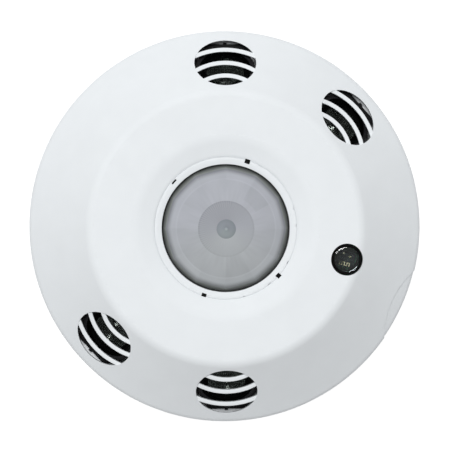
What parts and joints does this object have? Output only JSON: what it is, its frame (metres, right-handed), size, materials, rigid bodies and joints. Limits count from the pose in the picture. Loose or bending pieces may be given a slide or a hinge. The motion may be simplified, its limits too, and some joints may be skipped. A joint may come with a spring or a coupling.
{
  "type": "ceiling motion sensor",
  "caption": "Round ceiling occupancy sensor with a domed Fresnel lens, slotted ultrasonic openings in a sloping edge, a daylight sensor and a twist-lock ceiling plate.",
  "frame": {"origin": "centre of the ceiling side of the mounting plate, so the sensor lies on its back", "axes": "+Z out of the ceiling face towards the room, along the axis of the lens; +X through one of the two ceiling-box screw slots; +Y through one of the four sound openings"},
  "size_m": [0.1142, 0.1142, 0.031],
  "materials": {
    "white_plastic": "fine satin moulded ABS",
    "housing_plastic": "fine matte moulded ABS",
    "lens_plastic": "translucent milky polyethylene, grooved",
    "board": "green solder mask on glass fibre",
    "black_rubber": "matte",
    "black_plastic": "matte",
    "smoked_plastic": "smoked, translucent, polished",
    "aluminium": "drawn, satin",
    "tin_plate": "tinned",
    "dark_mesh": "blackened woven wire",
    "nickel": "nickel plated",
    "brass": "plain",
    "filter": "dark silicon filter",
    "ceramic": "ceramic",
    "red_lamp": "tinted clear epoxy",
    "green_lamp": "tinted clear epoxy",
    "trimmer_blue": "moulded",
    "knob_black": "moulded",
    "knob_red": "moulded",
    "knob_green": "moulded",
    "knob_blue": "moulded",
    "switch_red": "moulded",
    "slider_white": "moulded",
    "terminal_green": "moulded",
    "wire_red": "insulated wire",
    "capacitor_sleeve": "shrink sleeve",
    "ferrite": "wound ferrite drum"
  },
  "bodies": {
    "ceiling_plate": {"mounting_plate": "white_plastic"},
    "sensor_head": {"rear_housing": "housing_plastic", "circuit_board": "board", "board_screws": "nickel", "pir_header": "nickel", "pir_element": "ceramic", "pir_can": "nickel", "pir_window": "filter", "transmitter_boot_1": "black_rubber", "transmitter_can_1": "black_plastic", "transmitter_cone_1": "aluminium", "transmitter_screen_1": "dark_mesh", "receiver_boot_1": "black_rubber", "receiver_can_1": "black_plastic", "receiver_cone_1": "aluminium", "receiver_screen_1": "dark_mesh", "transmitter_boot_2": "black_rubber", "transmitter_can_2": "black_plastic", "transmitter_cone_2": "aluminium", "transmitter_screen_2": "dark_mesh", "receiver_boot_2": "black_rubber", "receiver_can_2": "black_plastic", "receiver_cone_2": "aluminium", "receiver_screen_2": "dark_mesh", "transducer_leads": "wire_red", "light_tube": "black_plastic", "light_window": "smoked_plastic", "light_cell": "ceramic", "red_led": "red_lamp", "green_led": "green_lamp", "trimmer_bodies": "trimmer_blue", "switch_body": "switch_red", "terminal_block": "terminal_green", "terminal_screws": "nickel", "terminal_cages": "brass", "relay": "black_plastic", "capacitors": "capacitor_sleeve", "inductor": "ferrite", "microcontroller": "black_plastic", "amplifier_chips": "black_plastic", "crystal": "tin_plate", "chip_resistors": "ceramic"},
    "cover": {"front_cover": "white_plastic", "lens_collar": "white_plastic", "fresnel_lens": "lens_plastic"},
    "time_knob_body": {"time_knob": "knob_black"},
    "infrared_knob_body": {"infrared_knob": "knob_red"},
    "ultrasonic_knob_body": {"ultrasonic_knob": "knob_green"},
    "daylight_knob_body": {"daylight_knob": "knob_blue"},
    "switch_slider_1_body": {"switch_slider_1": "slider_white"},
    "switch_slider_2_body": {"switch_slider_2": "slider_white"},
    "switch_slider_3_body": {"switch_slider_3": "slider_white"},
    "switch_slider_4_body": {"switch_slider_4": "slider_white"},
    "switch_slider_5_body": {"switch_slider_5": "slider_white"},
    "switch_slider_6_body": {"switch_slider_6": "slider_white"}
  },
  "joints": [
    {"name": "head_twist", "type": "hinge", "parent": "ceiling_plate", "child": "sensor_head", "pos_m": [0, 0, 0], "axis": [0, 0, 1], "range_deg": [0, 15]},
    {"name": "cover_lift", "type": "slide", "parent": "sensor_head", "child": "cover", "axis": [0, 0, 1], "range_m": [0, 0.04]},
    {"name": "time_knob_turn", "type": "hinge", "parent": "sensor_head", "child": "time_knob_body", "pos_m": [-0.01606, 0.03444, 0.016], "axis": [0, 0, 1], "range_deg": [-135, 135]},
    {"name": "infrared_knob_turn", "type": "hinge", "parent": "sensor_head", "child": "infrared_knob_body", "pos_m": [-0.02493, 0.02868, 0.016], "axis": [0, 0, 1], "range_deg": [-135, 135]},
    {"name": "ultrasonic_knob_turn", "type": "hinge", "parent": "sensor_head", "child": "ultrasonic_knob_body", "pos_m": [-0.03187, 0.0207, 0.016], "axis": [0, 0, 1], "range_deg": [-135, 135]},
    {"name": "daylight_knob_turn", "type": "hinge", "parent": "sensor_head", "child": "daylight_knob_body", "pos_m": [-0.03634, 0.01111, 0.016], "axis": [0, 0, 1], "range_deg": [-135, 135]},
    {"name": "switch_slider_1_slide", "type": "slide", "parent": "sensor_head", "child": "switch_slider_1_body", "axis": [-0.9925, -0.1219, 0], "range_m": [-0.0018, 0]},
    {"name": "switch_slider_2_slide", "type": "slide", "parent": "sensor_head", "child": "switch_slider_2_body", "axis": [-0.9925, -0.1219, 0], "range_m": [0, 0.0018]},
    {"name": "switch_slider_3_slide", "type": "slide", "parent": "sensor_head", "child": "switch_slider_3_body", "axis": [-0.9925, -0.1219, 0], "range_m": [-0.0018, 0]},
    {"name": "switch_slider_4_slide", "type": "slide", "parent": "sensor_head", "child": "switch_slider_4_body", "axis": [-0.9925, -0.1219, 0], "range_m": [-0.0018, 0]},
    {"name": "switch_slider_5_slide", "type": "slide", "parent": "sensor_head", "child": "switch_slider_5_body", "axis": [-0.9925, -0.1219, 0], "range_m": [0, 0.0018]},
    {"name": "switch_slider_6_slide", "type": "slide", "parent": "sensor_head", "child": "switch_slider_6_body", "axis": [-0.9925, -0.1219, 0], "range_m": [0, 0.0018]}
  ]
}
